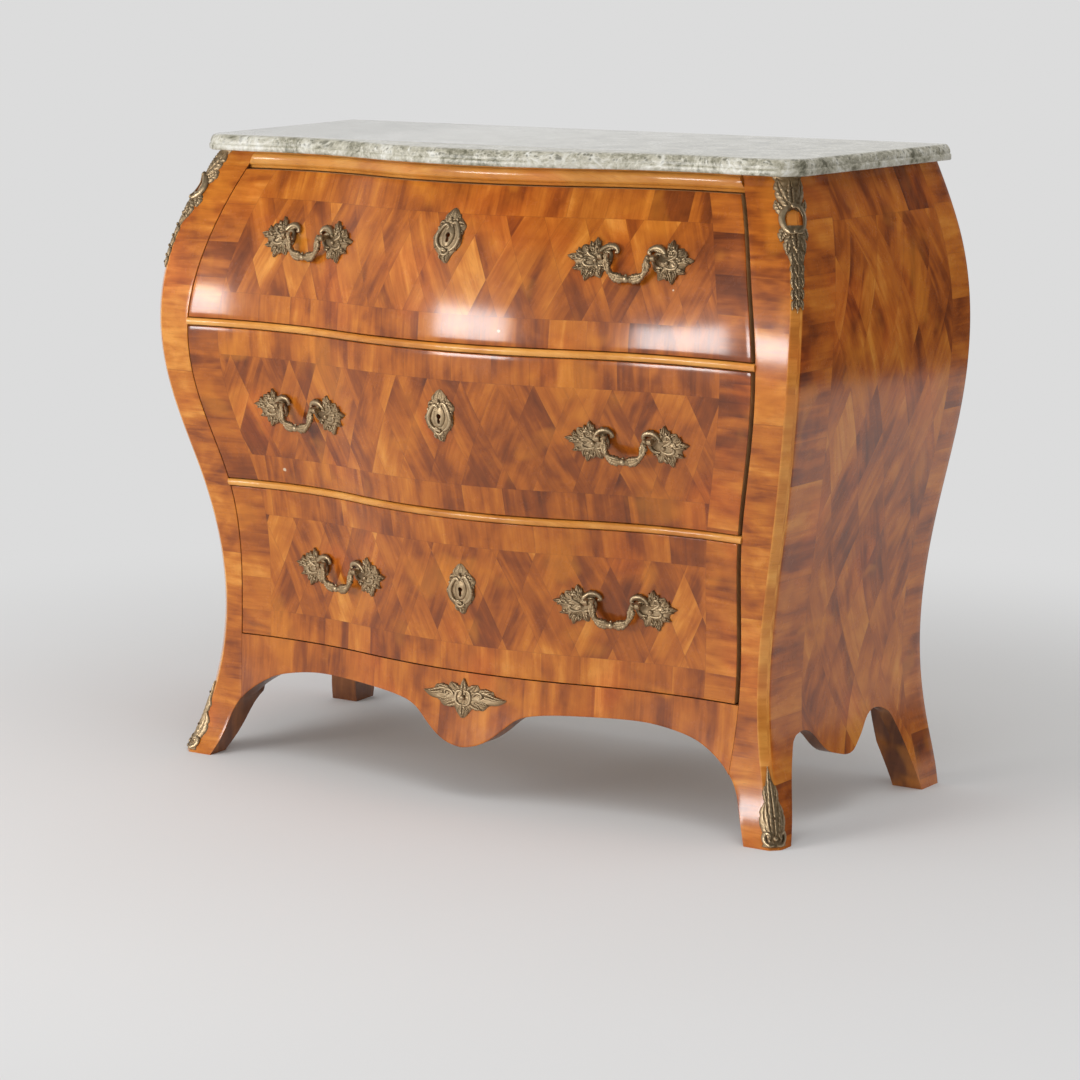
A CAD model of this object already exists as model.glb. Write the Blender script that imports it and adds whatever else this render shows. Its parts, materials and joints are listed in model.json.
import json
import math

import bmesh
import bpy
import numpy as np
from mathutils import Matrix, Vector


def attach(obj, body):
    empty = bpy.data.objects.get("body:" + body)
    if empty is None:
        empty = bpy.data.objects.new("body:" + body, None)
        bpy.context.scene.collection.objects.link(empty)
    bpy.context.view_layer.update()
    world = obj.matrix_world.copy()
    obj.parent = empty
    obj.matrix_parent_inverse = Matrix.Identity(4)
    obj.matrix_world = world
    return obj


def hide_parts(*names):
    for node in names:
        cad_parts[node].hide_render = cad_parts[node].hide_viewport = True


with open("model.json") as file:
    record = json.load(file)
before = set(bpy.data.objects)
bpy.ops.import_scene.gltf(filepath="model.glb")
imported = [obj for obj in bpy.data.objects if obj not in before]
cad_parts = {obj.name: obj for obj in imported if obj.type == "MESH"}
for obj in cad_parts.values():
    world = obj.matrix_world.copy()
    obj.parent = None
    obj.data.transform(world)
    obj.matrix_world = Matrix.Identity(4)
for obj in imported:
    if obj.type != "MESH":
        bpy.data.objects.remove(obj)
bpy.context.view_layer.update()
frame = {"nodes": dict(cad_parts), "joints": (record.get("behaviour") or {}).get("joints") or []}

# Bombe chest of drawers: looks.  Metres; front -Y, right +X, up +Z, floor at z = 0.

MM = 0.001
nodes = frame["nodes"]
DRAWERS = ("upper", "middle", "lower")

# ================================================================ the bombe form

# Height, corner arris from the middle, reach of the posts' faces to the front, inner edge of
# the posts, bow of the serpentine.  Millimetres.
OUTLINE = np.array([(0, 456.0, 176.0, 403.0, 29.0), (20, 449.4, 166.5, 384.4, 29.0),
                    (40, 442.8, 159.6, 375.3, 29.0), (60, 436.7, 154.6, 372.7, 29.0),
                    (85, 430.0, 150.0, 374.0, 29.0), (110, 424.7, 146.2, 376.3, 28.7),
                    (135, 420.7, 142.9, 378.3, 29.0), (163, 418.0, 140.0, 380.0, 30.0),
                    (190, 417.0, 138.1, 380.8, 31.5), (220, 417.7, 137.1, 381.0, 33.5),
                    (255, 420.5, 137.5, 380.9, 36.2), (290, 425.2, 139.5, 381.3, 38.9),
                    (330, 432.5, 144.1, 383.3, 41.5), (369, 441.0, 151.0, 388.0, 43.0),
                    (400, 448.5, 158.2, 394.3, 43.1), (440, 458.1, 168.5, 404.2, 42.3),
                    (476, 466.0, 177.0, 413.0, 41.0), (510, 472.1, 183.1, 419.5, 39.6),
                    (545, 476.6, 186.7, 423.5, 38.5), (583, 479.0, 187.0, 424.0, 38.0),
                    (620, 478.6, 183.1, 420.1, 38.5), (655, 475.4, 175.8, 413.1, 39.8),
                    (690, 469.0, 165.0, 404.0, 42.0), (715, 462.2, 155.2, 396.7, 44.1),
                    (740, 453.5, 144.0, 388.3, 46.0), (770, 441.3, 129.2, 376.4, 47.7),
                    (802, 427.0, 113.0, 361.0, 48.0)])
ARRIS = 11 * MM                  # width of the canted corner strip along X and Y
BOW_HALF = 165 * MM              # where the convex middle turns into the hollow beside it
BOW_SHARE = 0.6
POST_BACK_Y = -67 * MM
BACK_POST_Y = 161 * MM
BACK_Y = 224 * MM
TOP_Z = 802 * MM
BASE_Z = 163 * MM
BOARD_HALF = 4.5 * MM


def smooth_curve(knots, values):
    """Natural cubic spline through the values; returns a function of the knots' variable."""
    knots = np.asarray(knots, float)
    values = np.asarray(values, float)
    count = len(knots)
    step = np.diff(knots)
    matrix = np.eye(count)
    right = np.zeros(count)
    slope = np.diff(values) / step
    for i in range(1, count - 1):
        matrix[i, i - 1:i + 2] = step[i - 1], 2 * (step[i - 1] + step[i]), step[i]
        right[i] = 6 * (slope[i] - slope[i - 1])
    bend = np.linalg.solve(matrix, right)

    def evaluate(at):
        at = np.asarray(at, float)
        i = np.clip(np.searchsorted(knots, at) - 1, 0, count - 2)
        h = step[i]
        a = (knots[i + 1] - at) / h
        b = (at - knots[i]) / h
        cubic = ((a ** 3 - a) * bend[i] + (b ** 3 - b) * bend[i + 1]) * h * h / 6
        return a * values[i] + b * values[i + 1] + cubic
    return evaluate


def outline_curve(column):
    return smooth_curve(OUTLINE[:, 0] * MM, OUTLINE[:, column] * MM)


half_width = outline_curve(1)
reach = outline_curve(2)
opening = outline_curve(3)
bow = outline_curve(4)
SIDE_FLARE = 23 * MM             # how much further out the sides are at the back, above the feet
side_flare = smooth_curve(np.array((0, 20, 40, 60, 85, 400, 802)) * MM,
                          np.array((15, 18.6, 21, 22.3, 23, 23, 23)) * MM)


def front_y(x, z):
    """The bombe front: convex middle, hollow to either side, flat across the posts."""
    return plan_y(x, reach(z), bow(z), opening(z))


def plan_y(x, reach_, bow_, end_x):
    x = np.abs(np.asarray(x, float))
    x, reach_, bow_, end_x = np.broadcast_arrays(x, reach_, bow_, end_x)
    rise = bow_ * BOW_SHARE
    radius = (BOW_HALF ** 2 + rise ** 2) / (2 * rise)
    inside = np.minimum(x, BOW_HALF)
    middle = -(reach_ + bow_) + radius - np.sqrt(radius ** 2 - inside ** 2)
    turn = 2 * np.arctan(rise / BOW_HALF)
    turn_y = -reach_ - bow_ * (1 - BOW_SHARE)
    run = end_x - BOW_HALF
    climb = -reach_ - turn_y
    hollow_radius = np.hypot(run, climb) / (2 * np.sin(turn - np.arctan2(climb, run)))
    centre_x = BOW_HALF + hollow_radius * np.sin(turn)
    centre_y = turn_y - hollow_radius * np.cos(turn)
    beside = np.clip(x, BOW_HALF, end_x)
    hollow = centre_y + np.sqrt(hollow_radius ** 2 - (beside - centre_x) ** 2)
    return np.where(x <= BOW_HALF, middle, np.where(x < end_x, hollow, -reach_))


def side_x(y, z):
    """The right side, wider at the back than at the front."""
    front = ARRIS - reach(z)
    return half_width(z) + side_flare(z) * (y - front) / (BACK_Y - front)


def curve_points(points, count=120):
    """A smooth line through points in a plane, as (count, 2) in metres."""
    points = np.asarray(points, float) * MM
    along = np.r_[0, np.cumsum(np.hypot(*np.diff(points, axis=0).T))]
    at = np.linspace(0, along[-1], count)
    return np.c_[smooth_curve(along, points[:, 0])(at), smooth_curve(along, points[:, 1])(at)]


# Sawn edges: the front from the middle of the apron down a leg (x, z); the side (y, z).
FRONT_ARCH = curve_points([(0, 68), (16, 70.5), (30, 75.5), (45, 84.5), (60, 97), (78, 111), (107, 119.5),
                           (150, 123.5), (205, 125.5), (250, 125.5), (290, 120.5), (323, 112), (345, 101),
                           (364, 88), (376, 76), (385, 61), (391, 44), (398, 24), (409, 0)], 240)
FRONT_FOOT = curve_points([(-143, 0), (-126, 27), (-110, 60), (-97, 90), (-87, 113)])
SIDE_ARCH = curve_points([(-87, 113), (-79, 120), (-67, 123), (-54, 121.5), (-40, 113), (-29, 101),
                          (-15, 89), (8, 80.5), (27, 76.5), (42, 79), (55, 87), (68, 97), (81, 110),
                          (97, 119), (121, 117), (139, 107.5)], 200)
BACK_FOOT = curve_points([(139, 107.5), (154, 79), (166, 45), (181, 0)])

# ================================================================ meshes

def unit(vectors):
    return vectors / np.linalg.norm(vectors, axis=-1, keepdims=True)


def steps(low, high, count, edge):
    """Values from low to high, with extra ones near both ends where an edge is rounded."""
    curl = edge * (1 - np.cos(np.linspace(0, math.pi / 2, 4)))[:-1]
    middle = np.linspace(low + edge, high - edge, count)
    return np.r_[low + curl, middle, (high - curl)[::-1]]


def edge_drop(distance, radius):
    """How far a rounded edge falls away this far from the edge."""
    inside = np.clip(radius - distance, 0, radius)
    return radius - np.sqrt(radius ** 2 - inside ** 2)


class Build:
    """Collects points, faces and surface data of one piece."""

    def __init__(self):
        self.points = []
        self.faces = []
        self.slots = []
        self.data = {}
        self.count = 0

    def add(self, points, faces, slot=0, **data):
        """Points and faces; data is one value or one pair of values for each point."""
        points = np.asarray(points, float).reshape(-1, 3)
        for name, values in data.items():
            values = np.asarray(values, float).reshape(len(points), -1)
            self.data.setdefault(name, []).append((self.count, values))
        for face in faces:
            self.faces.append(tuple(int(i) + self.count for i in face))
        self.slots += list(slot) if hasattr(slot, "__len__") else [slot] * len(faces)
        self.points.append(points)
        self.count += len(points)

    def mesh(self, name, materials, sharp=35, merge=True, recalc=True):
        mesh = bpy.data.meshes.new(name)
        points = np.concatenate(self.points)
        mesh.from_pydata(points.tolist(), [], self.faces)
        mesh.polygons.foreach_set("material_index", self.slots)
        for key, blocks in self.data.items():
            values = np.zeros((self.count, blocks[0][1].shape[1]))
            for start, block in blocks:
                values[start:start + len(block)] = block
            if values.shape[1] == 2:
                layer = mesh.uv_layers.new(name=key)
                corner = np.zeros(len(mesh.loops), int)
                mesh.loops.foreach_get("vertex_index", corner)
                layer.data.foreach_set("uv", values[corner].ravel())
            else:
                mesh.attributes.new(key, "FLOAT", "POINT").data.foreach_set("value", values.ravel())
        for material in materials:
            mesh.materials.append(material)
        shape = bmesh.new()
        shape.from_mesh(mesh)
        if merge:
            bmesh.ops.remove_doubles(shape, verts=shape.verts, dist=1e-6)
        if recalc:
            bmesh.ops.recalc_face_normals(shape, faces=shape.faces)
        shape.to_mesh(mesh)
        shape.free()
        mesh.shade_smooth()
        mesh.set_sharp_from_angle(angle=math.radians(sharp))
        return add_object(name, mesh)


def add_object(name, data):
    obj = bpy.data.objects.new(name, data)
    bpy.context.scene.collection.objects.link(obj)
    return obj


def grid_faces(rows, columns, closed=False):
    faces = []
    for i in range(rows - 1):
        for j in range(columns if closed else columns - 1):
            k = (j + 1) % columns
            here, above = i * columns, (i + 1) * columns
            faces.append((here + j, here + k, above + k, above + j))
    return faces


def shell(build, outer, inner, inner_slot=0, **data):
    """A closed piece between two grids of the same size."""
    rows, columns = outer.shape[:2]
    total = rows * columns
    faces = grid_faces(rows, columns)
    back = [tuple(reversed([i + total for i in face])) for face in faces]
    ids = np.arange(total).reshape(rows, columns)
    border = [*ids[0], *ids[1:, -1], *ids[-1, -2::-1], *ids[-2:0:-1, 0]]
    rim = [(a, a + total, b + total, b) for a, b in zip(border, border[1:] + border[:1])]
    slots = [0] * len(faces) + [inner_slot] * (len(back) + len(rim))
    doubled = {key: np.concatenate([value.reshape(total, -1)] * 2) for key, value in data.items()}
    points = np.concatenate([outer.reshape(-1, 3), inner.reshape(-1, 3)])
    build.add(points, faces + back + rim, slots, **doubled)


def loft_loops(build, loops, slots=None, **data):
    """A closed piece through closed loops (levels, points, 3); slots by segment of the loop."""
    levels, count = loops.shape[:2]
    slots = slots or [0] * count
    faces = grid_faces(levels, count, closed=True)
    face_slots = [slots[k % count] for k in range(len(faces))]
    faces += [tuple(reversed(range(count))), tuple(range((levels - 1) * count, levels * count))]
    build.add(loops, faces, face_slots + [slots[-1]] * 2, **data)


def loft_ring(build, loops, **data):
    """The same, but the last loop closes on the first, so a hole stays open through the piece."""
    rows, count = loops.shape[:2]
    faces = grid_faces(rows, count, closed=True)
    last = (rows - 1) * count
    faces += [((j + 1) % count, j, last + j, last + (j + 1) % count) for j in range(count)]
    build.add(loops, faces, **data)


def corner_loop(corners, radii, between):
    """Corners (k, levels, 2) to a loop with rounded corners: (levels, n, 2), and each point's segment."""
    corners = np.asarray(corners)
    columns = []
    segment = []
    for k, here in enumerate(corners):
        after = corners[(k + 1) % len(corners)]
        end = here
        column = [here]
        if radii[k]:
            start = here + unit(corners[k - 1] - here) * radii[k]
            end = here + unit(after - here) * radii[k]
            column = [(1 - t) ** 2 * start + 2 * t * (1 - t) * here + t * t * end
                      for t in np.linspace(0, 1, 4)]
        toward = after + unit(here - after) * radii[(k + 1) % len(corners)]
        column += [end + (toward - end) * t for t in np.linspace(0, 1, between[k] + 1)[1:-1]]
        columns += column
        segment += [k] * len(column)
    return np.stack(columns, axis=1), segment


def raised(plan, z):
    """Plan points (levels, n, 2) at the height of their level."""
    return np.dstack([plan, np.broadcast_to(z[:, None], plan.shape[:2])])


def mirrored(build):
    """The same piece for the left side."""
    other = Build()
    other.points = [points * (-1, 1, 1) for points in build.points]
    other.faces = [tuple(reversed(face)) for face in build.faces]
    other.slots = build.slots
    other.data = build.data
    other.count = build.count
    return other


def place_piece(obj, body, slot, *replaced):
    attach(obj, body)
    if replaced:
        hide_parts(*replaced)


def place_pair(build, label, materials, slot, node):
    """A right-hand piece of the carcass and its mirror image."""
    for side, half in (("right", build), ("left", mirrored(build))):
        place_piece(half.mesh(f"{side}_{label}", materials), "carcass", slot, node.format(side))


def apply_modifier(obj):
    """Give an object the mesh that its modifier makes."""
    bpy.context.view_layer.update()
    result = bpy.data.meshes.new_from_object(obj.evaluated_get(bpy.context.evaluated_depsgraph_get()))
    obj.modifiers.clear()
    old = obj.data
    obj.data = result
    bpy.data.meshes.remove(old)


def cut_away(obj, cutter):
    """Take one closed mesh out of another."""
    modifier = obj.modifiers.new("cut", "BOOLEAN")
    modifier.operation = "DIFFERENCE"
    modifier.solver = "EXACT"
    modifier.object = cutter
    apply_modifier(obj)
    bpy.data.objects.remove(cutter)
    obj.data.set_sharp_from_angle(angle=math.radians(35))


def block(name, low, high):
    build = Build()
    x0, y0, z0 = low
    x1, y1, z1 = high
    points = [(x, y, z) for z in (z0, z1) for x, y in ((x0, y0), (x1, y0), (x1, y1), (x0, y1))]
    build.add(points, [(3, 2, 1, 0), (4, 5, 6, 7), (0, 1, 5, 4), (1, 2, 6, 5), (2, 3, 7, 6), (3, 0, 4, 7)])
    return build.mesh(name, [])

# ================================================================ node trees

def sign(operation, swapped=False):
    """An arithmetic sign next to a signal, as a Math node."""
    def apply(self, other):
        pair = (other, self) if swapped else (self, other)
        return self.tree.math(operation, *pair)
    return apply


class Signal:
    """A node's output; arithmetic signs between signals stand for Math nodes."""

    def __init__(self, tree, socket):
        self.tree = tree
        self.socket = socket

    __add__ = sign("ADD")
    __radd__ = sign("ADD", swapped=True)
    __sub__ = sign("SUBTRACT")
    __rsub__ = sign("SUBTRACT", swapped=True)
    __mul__ = sign("MULTIPLY")
    __truediv__ = sign("DIVIDE")
    __gt__ = sign("GREATER_THAN")
    __lt__ = sign("LESS_THAN")


class Tree:
    """A node tree with short ways to add its nodes."""

    def __init__(self, tree):
        self.tree = tree
        self.tree.nodes.clear()

    def feed(self, node, key, value):
        """Give an input a constant or another node's output."""
        if isinstance(value, Signal):
            value = value.socket
        if isinstance(value, bpy.types.NodeSocket):
            self.tree.links.new(value, node.inputs[key])
        else:
            node.inputs[key].default_value = value

    def node(self, kind, inputs=(), **settings):
        node = self.tree.nodes.new(kind)
        for key, value in settings.items():
            setattr(node, key, value)
        for key, value in dict(inputs).items():
            self.feed(node, key, value)
        return node

    def signal(self, kind, inputs=(), output=0, **settings):
        return Signal(self, self.node(kind, inputs, **settings).outputs[output])

    def math(self, operation, *values):
        return self.signal("ShaderNodeMath", dict(enumerate(values)), operation=operation)


class Shading(Tree):
    """The nodes that materials and the world share."""

    def mix(self, factor, a, b):
        """Between two numbers."""
        return self.signal("ShaderNodeMix", {0: factor, 2: a, 3: b}, data_type="FLOAT")

    def blend(self, factor, a, b, mode="MIX"):
        """Between two colours."""
        return self.signal("ShaderNodeMix", {0: factor, 6: a, 7: b}, 2, data_type="RGBA", blend_type=mode)

    def vector(self, x, y, z):
        return self.signal("ShaderNodeCombineXYZ", {0: x, 1: y, 2: z})

    def parts(self, vector):
        outputs = self.node("ShaderNodeSeparateXYZ", {0: vector}).outputs
        return [Signal(self, output) for output in outputs]

    def position(self):
        return self.signal("ShaderNodeTexCoord", output="Object")

    def surface(self):
        """Place on the veneer, from the layer that each veneered piece carries."""
        return self.parts(self.signal("ShaderNodeUVMap", uv_map="surface"))[:2]

    def attribute(self, name):
        return self.signal("ShaderNodeAttribute", output="Fac", attribute_name=name)

    def noise(self, vector, scale=1.0, detail=3.0, roughness=0.5, distortion=0.0):
        return self.signal("ShaderNodeTexNoise", {"Vector": vector, "Scale": scale, "Detail": detail,
                                                  "Roughness": roughness, "Distortion": distortion}, "Fac")

    def chance(self, vector):
        return self.signal("ShaderNodeTexWhiteNoise", {"Vector": vector}, "Value", noise_dimensions="3D")

    def ramp(self, factor, stops):
        node = self.node("ShaderNodeValToRGB", {0: factor})
        elements = node.color_ramp.elements
        while len(elements) < len(stops):
            elements.new(0.5)
        for element, (place, colour) in zip(elements, stops):
            element.position = place
            element.color = (*colour, 1)
        return Signal(self, node.outputs[0])

    def step(self, value, low, high):
        """0 below low, 1 above high, smooth between."""
        return self.signal("ShaderNodeMapRange", {0: value, 1: low, 2: high, 3: 0.0, 4: 1.0},
                           interpolation_type="SMOOTHSTEP")

    def bump(self, height, distance, normal=None):
        inputs = {"Height": height, "Distance": distance, "Strength": 1.0}
        if normal is not None:
            inputs["Normal"] = normal
        return self.signal("ShaderNodeBump", inputs)

    def sees(self, *rays):
        """1 for these kinds of rays."""
        outputs = self.node("ShaderNodeLightPath").outputs
        result = Signal(self, outputs[rays[0]])
        for ray in rays[1:]:
            result = result + outputs[ray]
        return result


class Finish(Shading):
    """A material under construction."""

    def __init__(self, name):
        self.material = bpy.data.materials.new(name)
        self.material.use_nodes = True
        super().__init__(self.material.node_tree)

    def finish(self, **inputs):
        return self.close(self.node("ShaderNodeBsdfPrincipled", inputs))

    def close(self, shader):
        self.node("ShaderNodeOutputMaterial", {0: shader.outputs[0]})
        return self.material


# ================================================================ materials

# Linear colours of the shellacked fruitwood, dark to light.
FRONT_TONES = [(0.0, (0.100, 0.022, 0.005)), (0.3, (0.240, 0.055, 0.007)), (0.52, (0.400, 0.104, 0.010)),
               (0.75, (0.530, 0.165, 0.017)), (1.0, (0.700, 0.280, 0.045))]
SIDE_TONES = [(0.0, (0.100, 0.020, 0.004)), (0.3, (0.240, 0.052, 0.006)), (0.52, (0.400, 0.098, 0.009)),
              (0.75, (0.530, 0.158, 0.015)), (1.0, (0.660, 0.250, 0.035))]
RAIL_TONES = [(0.0, (0.340, 0.100, 0.013)), (0.4, (0.530, 0.188, 0.028)), (0.7, (0.670, 0.285, 0.052)),
              (1.0, (0.810, 0.420, 0.105))]
STAINED_TONES = [(0.0, (0.050, 0.014, 0.005)), (0.35, (0.130, 0.038, 0.010)), (0.65, (0.240, 0.078, 0.018)),
                 (1.0, (0.380, 0.145, 0.035))]
LINING_TONES = [(0.0, (0.17, 0.078, 0.028)), (0.4, (0.36, 0.195, 0.078)), (0.7, (0.50, 0.300, 0.130)),
                (1.0, (0.64, 0.430, 0.215))]
STONE_TONES = [(0.30, (0.130, 0.122, 0.078)), (0.40, (0.310, 0.290, 0.210)), (0.50, (0.470, 0.440, 0.345)),
               (0.60, (0.590, 0.565, 0.475)), (0.74, (0.700, 0.685, 0.620))]
BRONZE_TONES = [(0.10, (0.145, 0.094, 0.052)), (0.36, (0.250, 0.168, 0.092)), (0.62, (0.385, 0.268, 0.150)),
                (0.90, (0.540, 0.405, 0.245))]

# Small flakes lost from the veneer: across, height and size, metres.
CHIPS = [(-0.296, 0.393, 0.0042), (0.084, 0.607, 0.0036), (0.300, 0.665, 0.0020)]
GLUE_LINE = 0.00035              # half width of a glue line


def grain(paint, along, across, piece, curl=1.0):
    """Wood figure in the direction of along; piece picks another stretch of wood."""
    shift = piece * 37.0

    def stretched(along_scale, across_scale, detail, distortion):
        where = paint.vector(along * along_scale, across * across_scale, shift)
        return paint.noise(where, detail=detail, distortion=distortion)
    clouds = stretched(6.0, 17.0, 2.0, 1.4 * curl)
    waves = stretched(9.0, 75.0, 3.0, 1.1 * curl)
    streaks = stretched(16.0, 330.0, 2.0, 0.3)
    pores = stretched(110.0, 1500.0, 1.0, 0.0)
    figure = (clouds - 0.5) * 1.15 + (waves - 0.5) * 0.55 + (streaks - 0.5) * 0.20
    return figure, paint.step(pores, 0.60, 0.74), streaks


def chipped(paint, place):
    """1 where a flake of the coat is missing."""
    x, _, z = paint.parts(place)
    ragged = paint.noise(place, scale=240.0)
    nearest = 9.0
    for across, height, size in CHIPS:
        wide = (x - across) / size
        tall = (z - height) / (size * 0.8)
        nearest = paint.math("MINIMUM", nearest, wide * wide + tall * tall)
    return 1.0 - paint.step(nearest + ragged, 0.75, 1.0)


def shellac(paint, tone, pores, streaks, lines, tones, stain=0.0, gloss=0.16):
    """The finished wood: tone to colour, dark pores and glue lines, a glossy and slightly wavy coat."""
    place = paint.position()
    patches = paint.noise(place, scale=4.5, roughness=0.6)
    blots = paint.noise(place, scale=24.0, roughness=0.6, distortion=0.6)
    tone = tone + (patches - 0.5) * 0.75 + (blots - 0.5) * 0.50 + stain
    colour = paint.ramp(tone, tones)
    colour = paint.blend(pores * 0.22, colour, (0.09, 0.026, 0.009, 1))
    colour = paint.blend(lines * 0.22, colour, (0.085, 0.024, 0.008, 1))
    red = paint.noise(place, scale=9.0, detail=2.0)
    colour = paint.blend(paint.step(red, 0.52, 0.72), colour, (1.0, 0.84, 0.82, 1), "MULTIPLY")
    gold = paint.noise(place, scale=14.0, detail=2.0, distortion=0.4)
    colour = paint.blend(paint.step(gold, 0.56, 0.70) * 0.35, colour, (0.66, 0.225, 0.018, 1))
    chips = chipped(paint, place)
    colour = paint.blend(chips, colour, (0.62, 0.48, 0.34, 1))
    ripple = paint.noise(place, scale=17.0, detail=2.0, roughness=0.45)
    relief = streaks * 0.30 - (pores * 0.35 + lines * 0.3 + chips)
    normal = paint.bump(relief, 0.00006, normal=paint.bump(ripple, 0.0017))
    wear = paint.noise(place, scale=38.0, detail=4.0, roughness=0.65)
    rough = paint.mix(wear, gloss, gloss + 0.20)
    return paint.finish(**{"Base Color": colour, "Roughness": rough, "Normal": normal, "Coat Weight": 0.75,
                           "Coat Roughness": 0.14, "Specular IOR Level": 0.15})


def lozenge_tiles(paint, u, v, width, height):
    """Lozenges standing on their points: grain direction, tile number and closeness to a joint."""
    across = u / width
    up = v / height
    a = across + up
    b = across - up
    cell_a = paint.math("FLOOR", a)
    cell_b = paint.math("FLOOR", b)
    tile = paint.chance(paint.vector(cell_a, cell_b, 3.0))
    odd = paint.math("FLOORED_MODULO", cell_a + (tile > 0.72), 2.0) > 0.5
    turned_v = (odd * 2.0 - 1.0) * v
    length = math.hypot(width, height)
    cos, sin = width / length, height / length
    near = paint.math("MINIMUM", paint.math("PINGPONG", a, 0.5), paint.math("PINGPONG", b, 0.5))
    return u * cos + turned_v * sin, turned_v * cos - u * sin, tile, near * (width * sin)


def band_tiles(paint, coordinate, width, row):
    """Blocks of uneven width in a row: tile number and closeness to a joint."""
    jitter = paint.noise(paint.vector(coordinate * 9.0, row, 5.0), detail=0.0)
    stretched = coordinate / width + jitter * 1.6
    joint = paint.math("PINGPONG", stretched, 0.5) * width
    return paint.chance(paint.vector(paint.math("FLOOR", stretched), row, 8.0)), joint


def glue_line(paint, distance):
    return 1.0 - paint.step(distance, GLUE_LINE * 0.6, GLUE_LINE * 1.8)


def parquetry(name, tones, width, height, rail_band, end_band, seed, contrast=0.13, base=0.5, stain=0.0):
    """Lozenge field inside cross-banded borders, for drawer fronts and sides."""
    paint = Finish(name)
    u, v = paint.surface()
    from_rail = paint.attribute("from_rail")
    from_end = paint.attribute("from_end")
    in_rail = from_rail < rail_band
    in_end = from_end < end_band
    rail_tile, rail_joint = band_tiles(paint, u, 0.055, 17.0 + seed * 100)
    end_tile, end_joint = band_tiles(paint, v, 0.062, 53.0 + seed * 100)

    def by_zone(field, rail, end):
        return paint.mix(in_end, paint.mix(in_rail, field, rail), end)
    along, cross, tile, joint = lozenge_tiles(paint, u + seed, v + seed * 0.7, width, height)
    along = by_zone(along, v, u)
    cross = by_zone(cross, u, v)
    tile = by_zone(tile, rail_tile, end_tile)
    joint = by_zone(joint, rail_joint, end_joint)
    edge_rail = paint.mix(in_end, paint.math("ABSOLUTE", from_rail - rail_band), 1.0)
    edge_end = paint.math("ABSOLUTE", from_end - end_band)
    border = glue_line(paint, paint.math("MINIMUM", edge_rail, edge_end))
    lines = paint.math("MAXIMUM", glue_line(paint, joint), border)
    figure, pores, streaks = grain(paint, along, cross, tile)
    palest, darkest = paint.step(tile, 0.82, 0.94), paint.step(tile, 0.20, 0.08)
    tone = base + figure + (tile - 0.5) * contrast + palest * 0.11 + darkest * -0.11
    return shellac(paint, tone, pores, streaks, lines, tones, stain)


def banded(name, tones, tile_length, base, contrast=0.3, upright=False, seed=1.0, curl=1.0):
    """Blocks of veneer with the grain across (or, upright, up) the strip."""
    paint = Finish(name)
    u, v = paint.surface()
    run, other = (u, v) if upright else (v, u)
    tile, joint = band_tiles(paint, run, tile_length, seed)
    figure, pores, streaks = grain(paint, other, run, tile, curl)
    tone = base + figure + (tile - 0.5) * contrast
    return shellac(paint, tone, pores, streaks, glue_line(paint, joint), tones)


def board_axes(paint, axis, skew):
    """Distance along the grain and across it for wood that runs along an axis of the chest."""
    x, y, z = paint.parts(paint.position())
    along, a, b = {"X": (x, y, z), "Y": (y, x, z), "Z": (z, x, y)}[axis]
    return along, a + b * skew


def solid_wood(name, tones, base, axis, gloss):
    """Finished wood with the grain along one axis of the chest."""
    paint = Finish(name)
    along, cross = board_axes(paint, axis, 0.83)
    figure, pores, streaks = grain(paint, along, cross, 0.37)
    return shellac(paint, base + figure, pores, streaks, 0.0, tones, gloss=gloss)


def plain_board(name, axis):
    """Dry planed softwood inside the chest, with age stains and no gloss."""
    paint = Finish(name)
    along, cross = board_axes(paint, axis, 0.9)
    board, _ = band_tiles(paint, cross, 0.16, 4.0)
    rings = paint.noise(paint.vector(along * 2.4, cross * 60.0, board * 21.0), detail=5.0, roughness=0.55,
                        distortion=0.5)
    fibres = paint.noise(paint.vector(along * 20.0, cross * 700.0, 1.0), detail=2.0)
    stains = paint.noise(paint.position(), scale=7.0, detail=4.0, roughness=0.6)
    tone = 0.5 + (rings - 0.5) * 0.8 + (fibres - 0.5) * 0.35 + (stains - 0.55) * 0.8
    return paint.finish(**{"Base Color": paint.ramp(tone, LINING_TONES),
                           "Roughness": paint.mix(stains, 0.62, 0.82),
                           "Normal": paint.bump(fibres + rings, 0.00018)})


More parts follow.
